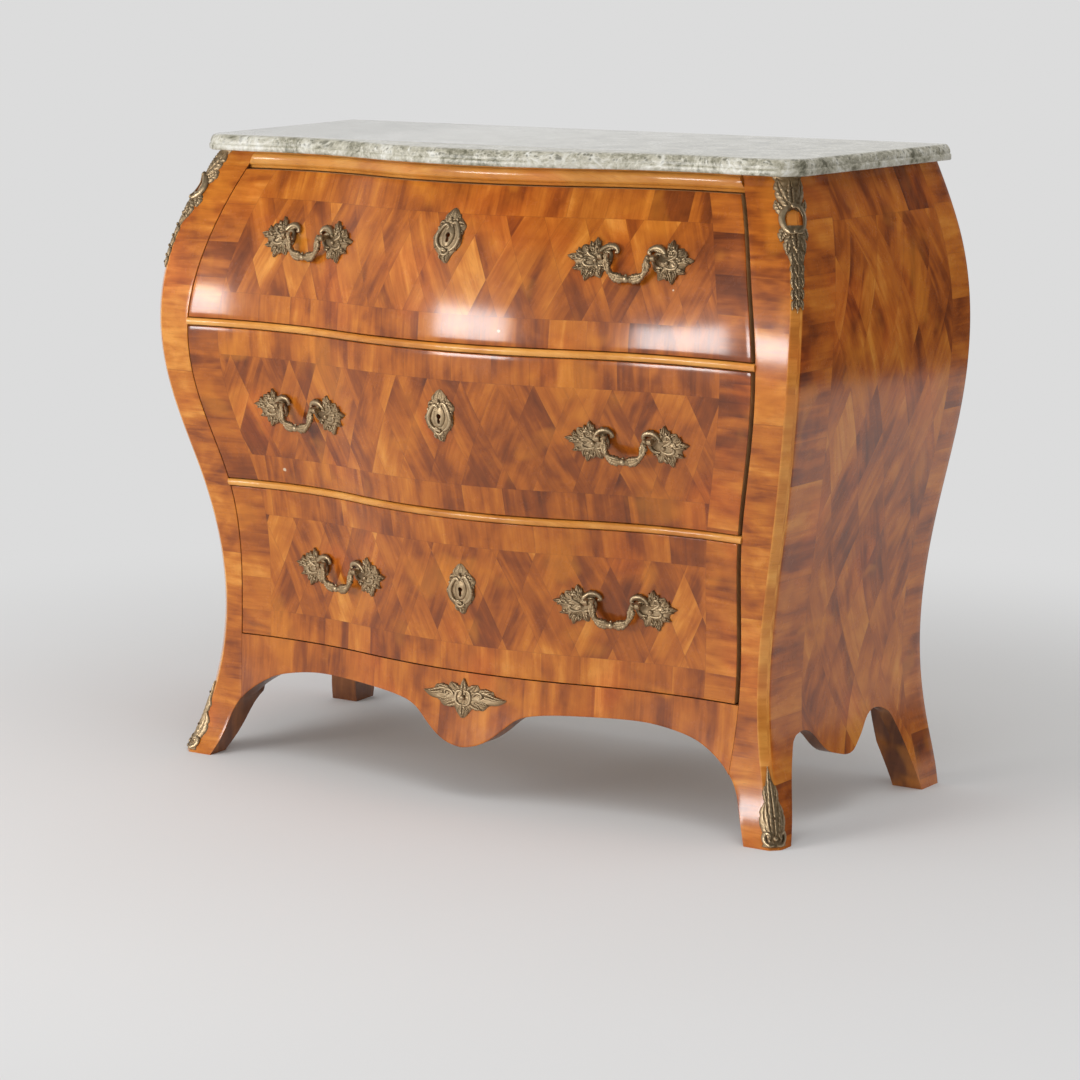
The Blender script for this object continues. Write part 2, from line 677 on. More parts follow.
def stone_material():
    """Polished grey-cream marble: olive specks crowded towards the upper edge, pale broken veins."""
    paint = Finish("polished_grey_marble")
    place = paint.position()
    drift = paint.signal("ShaderNodeTexNoise", {"Vector": place, "Scale": 14.0, "Detail": 3.0}, "Color")
    bent = paint.signal("ShaderNodeVectorMath", {0: drift, 1: (0.05, 0.05, 0.05), 2: place},
                        operation="MULTIPLY_ADD")
    clouds = paint.noise(bent, scale=26.0, detail=6.0, roughness=0.65)
    mottle = paint.noise(bent, scale=150.0, detail=4.0, roughness=0.7)
    cells = paint.signal("ShaderNodeTexVoronoi", {"Vector": bent, "Scale": 190.0}, "Distance")
    veins = paint.signal("ShaderNodeTexVoronoi", {"Vector": bent, "Scale": 24.0}, feature="DISTANCE_TO_EDGE")
    colour = paint.ramp(clouds * 0.95 + mottle * 0.95 + -0.45, STONE_TONES)
    upper = paint.step(paint.parts(place)[2], TOP_Z + 8 * MM, TOP_Z + 12 * MM)
    flecks = paint.step(mottle, 0.47, 0.55) * (1.0 - paint.step(cells, 0.30, 0.65))
    crowd = paint.mix(upper, 0.22, 0.85)
    colour = paint.blend(flecks * crowd, colour, (0.115, 0.108, 0.068, 1))
    pale = (1.0 - paint.step(veins, 0.0, 0.05)) * paint.step(clouds, 0.45, 0.6)
    colour = paint.blend(pale * 0.4, colour, (0.76, 0.745, 0.69, 1))
    facing_up = paint.parts(paint.signal("ShaderNodeNewGeometry", output="Normal"))[2]
    polished = paint.step(facing_up, 0.75, 0.97)
    colour = paint.blend(polished * 0.30, colour, (0.70, 0.685, 0.63, 1))
    rough = paint.mix(polished, paint.mix(mottle, 0.30, 0.48), paint.mix(mottle, 0.05, 0.12))
    return paint.finish(**{"Base Color": colour, "Roughness": rough, "Normal": paint.bump(mottle, 0.00003),
                           "IOR": 1.8})


def bronze_material(name, bright):
    """Old gilt bronze: dull brown in the hollows, rubbed pale on the ridges."""
    paint = Finish(name)
    place = paint.position()
    grime = paint.noise(place, scale=160.0, detail=4.0, roughness=0.65)
    patina = paint.noise(place, scale=45.0)
    level = paint.attribute("relief") * 0.62 + grime * 0.42 + patina * 0.22 + (bright - 0.14)
    return paint.finish(**{"Base Color": paint.ramp(level, BRONZE_TONES), "Roughness": 0.68 - level * 0.34,
                           "Normal": paint.bump(grime + patina, 0.0008), "Metallic": 0.88})


def iron_material():
    paint = Finish("filed_iron")
    place = paint.position()
    x, y, z = paint.parts(place)
    filing = paint.noise(paint.vector(x * 60.0, y * 900.0, z * 900.0), detail=2.0)
    rust = paint.noise(place, scale=55.0, detail=5.0, roughness=0.7)
    colour = paint.blend(paint.step(rust, 0.5, 0.68), (0.20, 0.185, 0.17, 1), (0.13, 0.055, 0.025, 1))
    return paint.finish(**{"Base Color": colour, "Roughness": paint.mix(rust, 0.34, 0.75),
                           "Normal": paint.bump(filing, 0.0001), "Metallic": 0.8})


FRONT_PATTERN = (0.049, 0.104, 0.035, 0.045)     # lozenge width and height, borders at rails and ends
SIDE_PATTERN = (0.062, 0.126, 0.055, 0.070)
front_veneer = {
    drawer: parquetry(f"parquetry_{drawer}_front", FRONT_TONES, *FRONT_PATTERN, seed, stain=stain)
    for drawer, seed, stain in (("upper", 0.013, -0.02), ("middle", 0.041, -0.05), ("lower", 0.067, 0.05))}
side_veneer = parquetry("parquetry_side", SIDE_TONES, *SIDE_PATTERN, 0.029, contrast=0.15, base=0.54)
post_veneer = banded("cross_grained_post", FRONT_TONES, 0.085, 0.58, contrast=0.22, seed=2.0, curl=1.8)
arris_veneer = banded("arris_stringing", RAIL_TONES, 0.30, 0.42, contrast=0.2, seed=6.0)
apron_veneer = banded("upright_grained_apron", FRONT_TONES, 0.075, 0.50, contrast=0.26, upright=True,
                      seed=9.0)
rail_wood = solid_wood("honey_moulding", RAIL_TONES, 0.60, "X", gloss=0.22)
stained_wood = solid_wood("stained_inner_leg", STAINED_TONES, 0.5, "Z", gloss=0.34)
carcass_wood = {axis: plain_board(f"planed_board_{axis}", axis) for axis in "XYZ"}
stone = stone_material()
bronze = bronze_material("old_gilt_bronze", 0.06)
rubbed_bronze = bronze_material("rubbed_gilt_bronze", 0.16)
iron = iron_material()

# ================================================================ veneered carcass

EDGE = 1.0 * MM                  # rounding of drawer fronts and posts
ARRIS_EDGE = 1.4 * MM            # rounding along the two edges of the corner strip
BACK_POST_WIDTH = 42 * MM
SIDE_THICKNESS = 18 * MM
APRON_THICKNESS = 22 * MM
BACK_BORDER = 25 * MM            # how far the border's count starts past the back edge


def z_levels(low, high, pitch=6 * MM):
    return np.linspace(low, high, int(round((high - low) / pitch)) + 1)


def post_corner_points(z):
    """Plan corners of a right front post: inner edge, arris, side, and its back."""
    rising = np.concatenate([FRONT_FOOT, SIDE_ARCH[1:][SIDE_ARCH[1:, 0] < POST_BACK_Y]])
    back = np.interp(z, rising[:, 1], rising[:, 0], right=POST_BACK_Y)
    leg = FRONT_ARCH[FRONT_ARCH[:, 0] > 0.35][::-1]
    inner = np.maximum(opening(z), np.interp(z, leg[:, 1], leg[:, 0]))
    return [np.c_[inner, -reach(z)], np.c_[half_width(z) - ARRIS, -reach(z)],
            np.c_[half_width(z), ARRIS - reach(z)], np.c_[side_x(back, z), back], np.c_[inner, back]]


def build_front_post():
    z = np.r_[z_levels(0, 0.123, 3 * MM), z_levels(0.1232, TOP_Z)]
    plan, segment = corner_loop(post_corner_points(z), (EDGE, ARRIS_EDGE, ARRIS_EDGE, 0, 0), (7, 3, 9, 4, 5))
    loops = raised(plan, z)
    across = np.where(np.array(segment) <= 1, loops[..., 0] - opening(z)[:, None], loops[..., 1])
    build = Build()
    loft_loops(build, loops, [(0, 1, 2, 3, 3)[k] for k in segment],
               surface=np.dstack([across, loops[..., 2]]),
               from_end=loops[..., 1] + reach(z)[:, None] - ARRIS, from_rail=TOP_Z - loops[..., 2])
    return build


def build_back_post():
    z = np.r_[z_levels(0, 0.084, 4 * MM), z_levels(0.0841, TOP_Z, 8 * MM)]
    foot = BACK_FOOT[::-1]
    front = np.maximum(np.interp(z, foot[:, 1], foot[:, 0]), BACK_POST_Y)
    back = np.full_like(z, BACK_Y)
    corners = [np.c_[side_x(y, z) - inset, y] for y, inset in (
        (front, 0), (back, 0), (back, BACK_POST_WIDTH), (front, BACK_POST_WIDTH))]
    plan, segment = corner_loop(corners, (0, EDGE, 0, 0), (6, 4, 6, 4))
    loops = raised(plan, z)
    build = Build()
    loft_loops(build, loops, [(0, 1, 1, 1)[k] for k in segment], surface=loops[..., 1:],
               from_end=BACK_Y - loops[..., 1] + BACK_BORDER, from_rail=TOP_Z - loops[..., 2])
    return build


def build_side_panel():
    y = np.linspace(POST_BACK_Y, BACK_POST_Y, 47)
    sawn = np.concatenate([FRONT_FOOT, SIDE_ARCH[1:], BACK_FOOT[1:]])
    bottom = np.interp(y, sawn[:, 0], sawn[:, 1])
    z = bottom + (TOP_Z - bottom) * np.linspace(0, 1, 110)[:, None]
    y = np.broadcast_to(y, z.shape)
    outer = np.dstack([side_x(y, z), y, z])
    from_end = np.minimum(y + reach(z) - ARRIS, BACK_Y - y + BACK_BORDER)
    build = Build()
    shell(build, outer, outer - (SIDE_THICKNESS, 0, 0), 1, surface=outer[..., 1:], from_end=from_end,
          from_rail=TOP_Z - z)
    return build


def build_apron():
    across = np.linspace(-1, 1, 161)
    bottom = np.interp(np.abs(across) * opening(0.09), FRONT_ARCH[:, 0], FRONT_ARCH[:, 1])
    z = bottom + (BASE_Z - bottom) * steps(0, 1, 12, 0.03)[:, None]
    x = across * opening(z)
    outer = np.dstack([x, front_y(x, z) + edge_drop(z - bottom, EDGE), z])
    inner = np.dstack([x, front_y(x, BASE_Z) + APRON_THICKNESS, z])
    build = Build()
    shell(build, outer, inner, 1, surface=np.dstack([x, z]))
    return build


place_pair(build_front_post(), "front_post_veneered", [post_veneer, arris_veneer, side_veneer, stained_wood],
           "front_veneer", "front_{}_post")
place_pair(build_back_post(), "back_post_veneered", [side_veneer, stained_wood], "front_veneer",
           "back_{}_post")
place_pair(build_side_panel(), "side_veneered", [side_veneer, stained_wood], "side_veneer", "{}_side_panel")
place_piece(build_apron().mesh("veneered_apron", [apron_veneer, stained_wood]), "carcass", "front_veneer",
            "front_apron")

# ================================================================ rails

# Profiles: forward of the carcass front and height above the rail's underside, millimetres.
TOP_MOULDING = [(0.0, 0.0), (2.2, 0.0), (3.0, 0.7), (3.3, 2.4), (3.9, 3.6), (5.4, 4.2), (6.0, 4.6),
                (7.3, 6.4), (8.4, 8.8), (8.9, 11.4), (8.8, 14.2), (8.0, 16.6), (6.6, 18.4), (5.0, 19.3),
                (3.6, 19.7), (3.2, 20.6), (3.0, 22.0), (0.0, 22.0)]
BEAD = [(-1.0, 0.0), (0.2, 0.1), (1.6, 0.9), (2.5, 2.4), (2.9, 4.5), (2.5, 6.6), (1.6, 8.1), (0.2, 8.9),
        (-1.0, 9.0)]
TOP_RAIL_HEIGHT = 22 * MM
LOCK_Y = {"upper": -0.145, "middle": -0.178, "lower": -0.154}
MORTISE_HALF = (13 * MM, 3 * MM)
MORTISE_DEPTH = 9 * MM - 1e-5    # just short of a divider's top, so that the cut is clean


def moulded_rail(name, level, profile, bottom, mortise_y, replaced):
    """A rail between the posts whose front edge has this profile, with the mortise of the bolt below."""
    across = np.linspace(-1, 1, 145)
    rows = []
    for forward, up in np.array(profile) * MM:
        x = across * opening(bottom + up)
        y = front_y(x, level) - forward
        rows.append(np.c_[x, y, np.full_like(x, bottom + up)])
    low, top = rows[0].copy(), rows[-1].copy()
    low[:, 1] = top[:, 1] = POST_BACK_Y
    build = Build()
    loft_loops(build, np.stack([low, *rows, top], axis=1))
    obj = build.mesh(name, [rail_wood], sharp=32)
    wide, deep = MORTISE_HALF
    cut_away(obj, block("mortise", (-wide, mortise_y - deep, bottom - MM),
                        (wide, mortise_y + deep, bottom + MORTISE_DEPTH)))
    place_piece(obj, "carcass", "rail", replaced)


moulded_rail("top_moulding", TOP_Z - 1e-6, TOP_MOULDING, TOP_Z - TOP_RAIL_HEIGHT, LOCK_Y["upper"],
             "top_rail")
for label, height, below in (("upper", 583 * MM, "middle"), ("lower", 369 * MM, "lower")):
    moulded_rail(f"{label}_bead_rail", height, BEAD, height - BOARD_HALF, LOCK_Y[below],
                 f"{label}_divider_rail")

# ================================================================ stone top

# Edge from the underside up: how far it stands in from the slab's greatest extent, and height.
STONE_EDGE = [(1.6, 0.0), (0.6, 0.5), (0.0, 1.6), (0.0, 6.4), (0.5, 7.5), (1.5, 8.2), (1.7, 9.2),
              (1.4, 10.2), (1.6, 11.4), (2.1, 13.2), (3.0, 15.2), (4.3, 17.1), (6.0, 18.6), (8.0, 19.6),
              (10.0, 20.0)]
STONE_OVERHANG = 18 * MM
STONE_BACK_OVERHANG = 4 * MM
STONE_CORNER = 8.1 * MM          # how far the rounding of its front corners reaches


def stone_outline():
    """Plan of the slab's greatest extent, from the back right corner round the front to the back left."""
    reach_, bow_, open_, half = (float(curve(TOP_Z)) for curve in (reach, bow, opening, half_width))
    lap = STONE_OVERHANG * math.tan(math.pi / 8)
    front = -(reach_ + STONE_OVERHANG)
    corners = np.array([(half + SIDE_FLARE + STONE_OVERHANG, BACK_Y + STONE_BACK_OVERHANG),
                        (half + STONE_OVERHANG, ARRIS - reach_ - lap), (half - ARRIS + lap, front),
                        (open_, front)])
    right = [corners[0] + (corners[1] - corners[0]) * t for t in np.linspace(0, 0.95, 40)]
    for before, here, after in zip(corners, corners[1:], corners[2:]):
        start, end = (here + unit(other - here) * STONE_CORNER for other in (before, after))
        right += [(1 - t) ** 2 * start + 2 * t * (1 - t) * here + t * t * end for t in np.linspace(0, 1, 9)]
    x = np.linspace(open_, 0, 90)
    right = np.array(right + list(np.c_[x, plan_y(x, reach_ + STONE_OVERHANG, bow_, open_)]))
    return np.concatenate([right, right[-2::-1] * (-1, 1)])


def build_stone():
    outline = stone_outline()
    tangent = unit(np.gradient(outline, axis=0))
    inward = np.c_[tangent[:, 1], -tangent[:, 0]]
    inward[0], inward[-1] = (-1, 0), (1, 0)
    build = Build()
    loft_loops(build, np.stack([np.c_[outline + inward * inset * MM, np.full(len(outline), TOP_Z + up * MM)]
                                for inset, up in STONE_EDGE]))
    return build


place_piece(build_stone().mesh("marble_slab", [stone], sharp=50), "carcass", "stone", "marble_top")

# ================================================================ drawer fronts

# Underside and top of each front, and the level at which it is thinnest.
FRONT_SPAN = {"upper": (588.7, 778.8, 802), "middle": (374.7, 577.3, 369), "lower": (164.2, 363.3, 163)}
KEY_Z = {"upper": 717 * MM, "middle": 497 * MM, "lower": 272 * MM}
END_GAP = 2.6 * MM
FRONT_SHIFT = 1.5 * MM
WORN_END = 2.0 * MM              # the right ends have been planed down to run free
FRONT_THICKNESS = 22 * MM
LOCK_HALF = 33 * MM
LOCK_BELOW_KEY = 22 * MM
LOCK_DEPTH = 12 * MM
KEY_RADIUS = 3.2 * MM
KEY_SLOT_HALF = 1.5 * MM
KEY_SLOT_DROP = 9 * MM


def keyhole_outline(count=28):
    """The keyhole seen from the front: a round hole over a slot."""
    start = math.asin(KEY_SLOT_HALF / KEY_RADIUS)
    angle = np.linspace(start, 2 * math.pi - start, count) - math.pi / 2
    round_part = np.c_[np.cos(angle), np.sin(angle)] * KEY_RADIUS
    slot = np.array([(-KEY_SLOT_HALF, -KEY_SLOT_DROP), (KEY_SLOT_HALF, -KEY_SLOT_DROP)])
    return np.concatenate([round_part, slot])


def key_cutter(drawer):
    x, z = keyhole_outline().T
    build = Build()
    loft_loops(build, np.stack([np.c_[x, np.full_like(x, y), z + KEY_Z[drawer]]
                                for y in (-0.4, LOCK_Y[drawer])]))
    return build.mesh("keyhole", [])


def drawer_front(drawer):
    low, high, thin = (value * MM for value in FRONT_SPAN[drawer])
    z = steps(low, high, 36, EDGE)[:, None]
    left = END_GAP - FRONT_SHIFT - opening(z)
    right = opening(z) - END_GAP - FRONT_SHIFT - WORN_END
    x = left + (right - left) * steps(0, 1, 131, EDGE / 0.8)
    z = np.broadcast_to(z, x.shape)
    from_end = np.minimum(x - left, right - x)
    from_rail = np.minimum(z - low, high - z)
    drop = edge_drop(from_end, EDGE) + edge_drop(from_rail, EDGE)
    build = Build()
    outer = np.dstack([x, front_y(x, z) + drop, z])
    inner = np.dstack([x, front_y(x, thin) + FRONT_THICKNESS, z])
    shell(build, outer, inner, 1, surface=np.dstack([x, z]), from_end=from_end, from_rail=from_rail)
    obj = build.mesh(f"{drawer}_front_veneered", [front_veneer[drawer], carcass_wood["X"]])
    back = float(front_y(0, thin)) + FRONT_THICKNESS
    cut_away(obj, block("pocket", (-LOCK_HALF, back - LOCK_DEPTH, KEY_Z[drawer] - LOCK_BELOW_KEY),
                        (LOCK_HALF, 0, high + MM)))
    cut_away(obj, key_cutter(drawer))
    place_piece(obj, f"{drawer}_drawer", "front_veneer", f"{drawer}_front")


for drawer in DRAWERS:
    drawer_front(drawer)

# ================================================================ cast mounts

def spline_path(points, count):
    """Points along a smooth line, and the direction to the left of it at each."""
    points = np.asarray(points, float)
    along = np.r_[0, np.cumsum(np.linalg.norm(np.diff(points, axis=0), axis=1))]
    at = np.linspace(0, along[-1], count)
    line = np.stack([smooth_curve(along, points[:, k])(at) for k in (0, 1)], axis=1)
    tangent = unit(np.gradient(line, axis=0))
    return line, np.c_[-tangent[:, 1], tangent[:, 0]]


def leaf(points, width, height, lobes, curl, count=30, base=0.5):
    """An acanthus leaf along a line: (across, up, out) in millimetres, with its relief value.
    Lobed edges, a sunk midrib, ribs that run to the lobes, and a tip that curls out."""
    line, normal = spline_path(points, count)
    t = np.linspace(0, 1, count)[:, None]
    s = np.linspace(-1, 1, 13)[None, :]
    envelope = np.sin(np.pi * (0.12 + 0.88 * t) ** 0.85) ** 0.75
    saw = (t * lobes + 0.35 * np.abs(s)) % 1.0
    notch = 1 - 0.26 * np.exp(-((saw - 0.92) / 0.14) ** 2) * np.abs(s) ** 1.5 - 0.08 * saw
    half = width / 2 * np.clip(envelope, 0.03, 1) * notch
    dome = np.clip(1 - np.abs(s) ** 2.4, 0, 1) ** 0.7
    vein = np.exp(-(s / 0.13) ** 2)
    rib = np.cos(2 * np.pi * (t * lobes * 2 - np.abs(s) * 0.9))
    rise = height * (0.35 + 0.65 * np.sin(np.pi * t) ** 0.6)
    out = rise * (dome * (0.62 + 0.38 * np.abs(s)) - 0.34 * vein + 0.13 * rib * dome * (1 - vein))
    out = out + curl * t ** 3 * (0.4 + 0.6 * dome)
    plane = line[:, None] + normal[:, None] * (s * half)[..., None]
    top = np.dstack([plane, base + np.maximum(out, 0.25)])
    under = top.copy()
    under[..., 2] = np.minimum(base - 1.0 + curl * t ** 3 * 0.5, top[..., 2] - 0.6)
    relief = np.clip(0.25 + 0.75 * out / height + 0.125 * rib - 0.6 * vein, 0, 1)
    return top, under, relief


def scroll(points, radius, base):
    """A rounded C or S scroll along a line, thickest in the middle."""
    line, normal = spline_path(points, 34)
    t = np.linspace(0, 1, 34)[:, None]
    swell = radius * (0.55 + 0.45 * np.sin(np.pi * t) ** 0.8)
    angle = np.linspace(0, 2 * np.pi, 12, endpoint=False)[None, :]
    plane = line[:, None] + normal[:, None] * (np.cos(angle) * swell)[..., None]
    out = np.sin(angle) * swell * 0.8 + base + radius * 0.35
    return np.dstack([plane, out]), np.clip(0.45 + 0.55 * np.sin(angle) + 0 * swell, 0, 1)


def ball(centre, radius, out, rings=7, sides=12):
    """A berry or boss."""
    polar = np.linspace(0.02, np.pi - 0.02, rings)[:, None]
    turn = np.linspace(0, 2 * np.pi, sides, endpoint=False)[None, :]
    away = radius * np.sin(polar)
    rise = -np.cos(polar) + 0 * turn
    across, up = centre[0] + away * np.cos(turn), centre[1] + away * np.sin(turn)
    loops = np.dstack([across, up, out + radius * 0.75 * rise])
    return loops, np.clip(0.5 + 0.5 * rise, 0, 1)


def closed_curve(points, count=150):
    """A smooth closed line through points, millimetres."""
    points = np.asarray(points, float)
    wrapped = np.concatenate([points[-4:], points, points[:4]])
    along = np.r_[0, np.cumsum(np.hypot(*np.diff(wrapped, axis=0).T))]
    at = np.linspace(along[4], along[4 + len(points)], count, endpoint=False)
    return np.stack([smooth_curve(along, wrapped[:, k])(at) for k in (0, 1)], axis=1)


PLATE_SHARES = np.array((0.04, 0.2, 0.38, 0.55, 0.7, 0.83, 0.93, 1.0))


def cast_plate(outline, centre, dome, edge, inner=None):
    """A cast plate with this outline: domed, ridged towards its points, as closed loops."""
    outline = closed_curve(outline)
    centre = np.array(centre, float)
    start = np.broadcast_to(centre, outline.shape) if inner is None else inner(outline - centre) + centre
    distance = np.hypot(*(outline - centre).T)
    ridge = 0.35 + 0.65 * distance / distance.max()
    share = PLATE_SHARES if inner is None else np.r_[0.0, PLATE_SHARES[1:]]
    rows = start + (outline - start) * share[:, None, None]
    curve = np.sqrt(np.clip(1 - share ** 2.6, 0, 1))[:, None]
    ripple = 0.22 * np.sin(share * 19)[:, None] * np.sqrt(share)[:, None]
    out = edge + dome * curve * ridge + ripple * curve
    under = np.dstack([rows, np.full_like(out, -0.3)])[::-1]
    relief = np.clip(0.15 + 0.85 * (out - edge) / dome + 0.5 * ripple, 0, 1)
    return np.concatenate([np.dstack([rows, out]), under]), np.concatenate([relief, relief[::-1]])


class Casting:
    """A cast mount: leaves, scrolls and bosses laid on a surface by a placing function.
    hand is 1, or -1 for the mirror image about the middle."""

    def __init__(self, place, build=None):
        self.place = place
        self.build = build or Build()

    def leaf(self, hand, *shape, **options):
        top, under, relief = leaf(*shape, **options)
        outer, inner = self.place(top * (hand, 1, 1)), self.place(under * (hand, 1, 1))
        shell(self.build, outer[::hand], inner[::hand], relief=relief[::hand])

    def loops(self, hand, loops, relief):
        loft_loops(self.build, self.place(loops * (hand, 1, 1)), relief=relief)

    def leaves(self, hand, rows):
        for row in rows:
            self.leaf(hand, *row)

    def scrolls(self, hand, rows):
        for row in rows:
            self.loops(hand, *scroll(*row))

    def balls(self, hand, rows):
        for row in rows:
            self.loops(hand, *ball(*row))

    def pierced_plate(self, outline, dome, edge):
        """A plate round the keyhole."""
        loops, relief = cast_plate(outline, (0, 0), dome, edge, keyhole_rim)
        loft_ring(self.build, self.place(loops), relief=relief)

    def finish(self, name, body, *replaced, metal=bronze):
        place_piece(self.build.mesh(name, [metal], sharp=55, merge=False), body, "bronze", *replaced)


def on_front(x0, z0):
    """Places (across, up, out) millimetres on the bombe front around a point."""
    def place(grid):
        x = x0 + grid[..., 0] * MM
        z = z0 + grid[..., 1] * MM
        delta = 0.5 * MM
        y = front_y(x, z)
        slope_x = (front_y(x + delta, z) - front_y(x - delta, z)) / (2 * delta)
        slope_z = (front_y(x, z + delta) - front_y(x, z - delta)) / (2 * delta)
        normal = unit(np.stack([slope_x, -np.ones_like(y), slope_z], axis=-1))
        return np.stack([x, y, z], axis=-1) + normal * grid[..., 2:] * MM
    return place


def on_corner(grid):
    """Places (across, up, out) millimetres on the right front arris; up is the height."""
    z = grid[..., 1] * MM
    across = unit(np.array([1, 1, 0]))
    outward = unit(np.array([1, -1, 0]))

    def middle(height):
        return np.stack([half_width(height) - ARRIS / 2, ARRIS / 2 - reach(height), height], axis=-1)
    delta = 0.5 * MM
    normal = unit(np.cross(across, middle(z + delta) - middle(z - delta)))
    normal *= np.sign((normal * outward).sum(-1, keepdims=True))
    s = grid[..., :1] * MM
    fall = np.maximum(np.abs(s) - ARRIS / math.sqrt(2), 0.0)
    return middle(z) + across * s - outward * fall + normal * grid[..., 2:] * MM


def left_corner(grid):
    return on_corner(grid * (-1, 1, 1)) * (-1, 1, 1)


# ---------------------------------------------------------------- handle plates

HINGES = {joint["child"]: joint for joint in frame["joints"] if joint["child"].endswith("_bail")}
PLATE_DROP = 6.0                 # the plates' middles are this far below the hinge line
EYE_X = 34.0
HANDLE_PLATE = [(26, 5), (29, 11), (34, 15), (40, 15), (44, 20), (49, 26), (53, 20), (58, 17), (64, 17),
                (67, 11), (73, 7), (81, 4), (74, -1), (70, -5), (71, -12), (64, -13), (60, -17), (56, -25),
                (50, -20), (44, -19), (37, -21), (34, -13), (29, -9), (26, -3)]
# Small leaves and curls of a handle's plate: root, tip, width; then bosses: centre, size.
HANDLE_SPRIGS = [((44, 6), (38, 17), 9), ((46, 8), (43, 22), 8), ((50, 8), (56, 21), 9),
                 ((55, 7), (63, 15), 8), ((60, 6), (72, 10), 8), ((62, 1), (76, -1), 8),
                 ((58, -4), (67, -10), 9), ((53, -7), (60, -19), 8), ((47, -8), (49, -21), 9),
                 ((42, -7), (38, -20), 9), ((39, -4), (31, -11), 8), ((38, 5), (29, 9), 7),
                 ((41, 9), (35, 17), 7), ((66, 6), (69, 14), 6), ((63, -6), (73, -11), 6),
                 ((52, -12), (56, -25), 6)]
HANDLE_BOSSES = [((46, -1), 3.0), ((63, 3), 2.2), ((42, 7), 2.4), ((52, 17), 2.0), ((53, -13), 2.0),
                 ((66, -8), 1.8), ((57, 11), 1.9), ((38, -10), 2.0), ((70, 3), 1.7), ((46, 14), 1.8),
                 ((48, -16), 1.8), ((58, -1), 2.0)]
BOSS_OUT = 4.4


def handle_leaves(casting, hand):
    """One half of a handle's plates: overlapping leaves round the eye, and scrolls inside them."""
    casting.loops(hand, *cast_plate(HANDLE_PLATE, (48, 1), 2.6, 1.0))
    for number, (root, tip, width) in enumerate(HANDLE_SPRIGS):
        bend = (-1.6, 1.8, -1.2, 2.2)[number % 4]
        middle = ((root[0] + tip[0]) / 2 + bend * 0.5, (root[1] + tip[1]) / 2 + bend)
        casting.leaf(hand, [root, middle, tip], width, 3.2 + 0.5 * (number % 3), 3, 1.2 + 0.3 * (number % 2),
                     count=18, base=0.9)
    casting.leaves(hand, [
        ([(40, 1), (50, 5), (62, 2), (72, 4), (81, 4)], 12, 4.8, 6, 1.4),
        ([(42, 4), (46, 12), (47, 19), (49, 26)], 10, 4.8, 5, 1.6),
        ([(42, -2), (49, -9), (53, -17), (56, -24.5)], 10, 4.8, 5, 1.6),
        ([(40, 10), (33, 14.5), (26, 15), (19, 10)], 10.5, 3.0, 5, 0.8, 30, 2.4)])
    casting.scrolls(hand, [
        ([(44, 5), (39, 12), (33, 15.5), (26, 15.5), (21, 12.5), (20, 9.5), (23, 8.5)], 3.4, 2.2),
        ([(41, -7), (33, -6), (28, -1), (28, 6), (32, 9), (36, 8)], 2.6, 2.0),
        ([(42, -2), (50, 3), (57, 9), (54, 13.5), (50, 12), (51, 9)], 2.0, 2.6),
        ([(44, -6), (53, -8), (60, -4), (58, 0), (54.5, -1)], 1.9, 2.8)])
    casting.balls(hand, [(centre, size, BOSS_OUT) for centre, size in HANDLE_BOSSES])


def hinge_placer(drawer, side):
    """The hinge's middle, and the function that places points in the hinge's own axes:
    millimetres along the pins to the right, back into the front, and up."""
    joint = HINGES[f"{drawer}_{side}_bail"]
    right = unit(-np.array(joint["axis"]))
    axes = np.stack([right, unit(np.cross((0, 0, 1), right)), (0, 0, 1)])
    origin = np.array(joint["pos_m"])
    return origin, lambda points: np.asarray(points, float) * MM @ axes + origin


def bar(build, place, hand, stations):
    """A round bar along the pins, or into the front: where its middle is, and its radius at each place."""
    path = place([(hand * x, y, 0) for x, y, _ in stations])
    radii = np.array([radius for _, _, radius in stations]) * MM
    tangent = unit(np.gradient(path, axis=0))
    first = unit(np.cross(tangent, (0, 0, 1)))
    second = np.cross(tangent, first)
    angle = np.linspace(0, 2 * np.pi, 14, endpoint=False)[None, :, None]
    away = first[:, None] * np.cos(angle) + second[:, None] * np.sin(angle)
    loops = path[:, None] + radii[:, None, None] * away
    loft_loops(build, loops, relief=np.full(loops.shape[:2], 0.6))


# The stud that carries an eye, from the wood out: along, depth, radius; the eye round the bail's
# pin: along, radius; the knuckle on the bail's end and its pin: along, depth, radius.
STUD = [(EYE_X, depth, radius) for depth, radius in (
    (22, 2.5), (14, 2.5), (9, 2.5), (6.5, 2.9), (4.8, 3.6), (3.8, 3.2))]
EYE = [(-3.0, 2.1), (-3.0, 3.6), (-2.5, 4.3), (-1.2, 4.5), (0, 4.2), (1.2, 4.5), (2.5, 4.3), (3.0, 3.6),
       (3.0, 2.1)]
KNUCKLE = [(26.0, 0, 2.6), (27.0, 0, 3.3), (28.4, 0, 3.4), (29.6, 0, 2.9), (30.7, 0, 1.8)]
PIN = [(28.0, 0, 1.6), (31.0, 0, 1.6), (36.0, 0, 1.6), (37.9, 0, 1.6)]


def handle_plates(drawer, side):
    origin, place = hinge_placer(drawer, side)
    casting = Casting(on_front(origin[0], origin[2] - PLATE_DROP * MM))
    angles = np.linspace(0, 2 * math.pi, 20, endpoint=False)
    for hand in (-1, 1):
        handle_leaves(casting, hand)
        bar(casting.build, place, hand, STUD)
        eye = np.stack([place([(hand * EYE_X + along, radius * math.sin(a), radius * math.cos(a))
                               for a in angles]) for along, radius in EYE])
        loft_ring(casting.build, eye, relief=np.full(eye.shape[:2], 0.7))
    name = f"{drawer}_{side}_handle_plates"
    casting.finish(f"{name}_cast", f"{drawer}_drawer", name)


# ---------------------------------------------------------------- bails, by geometry nodes

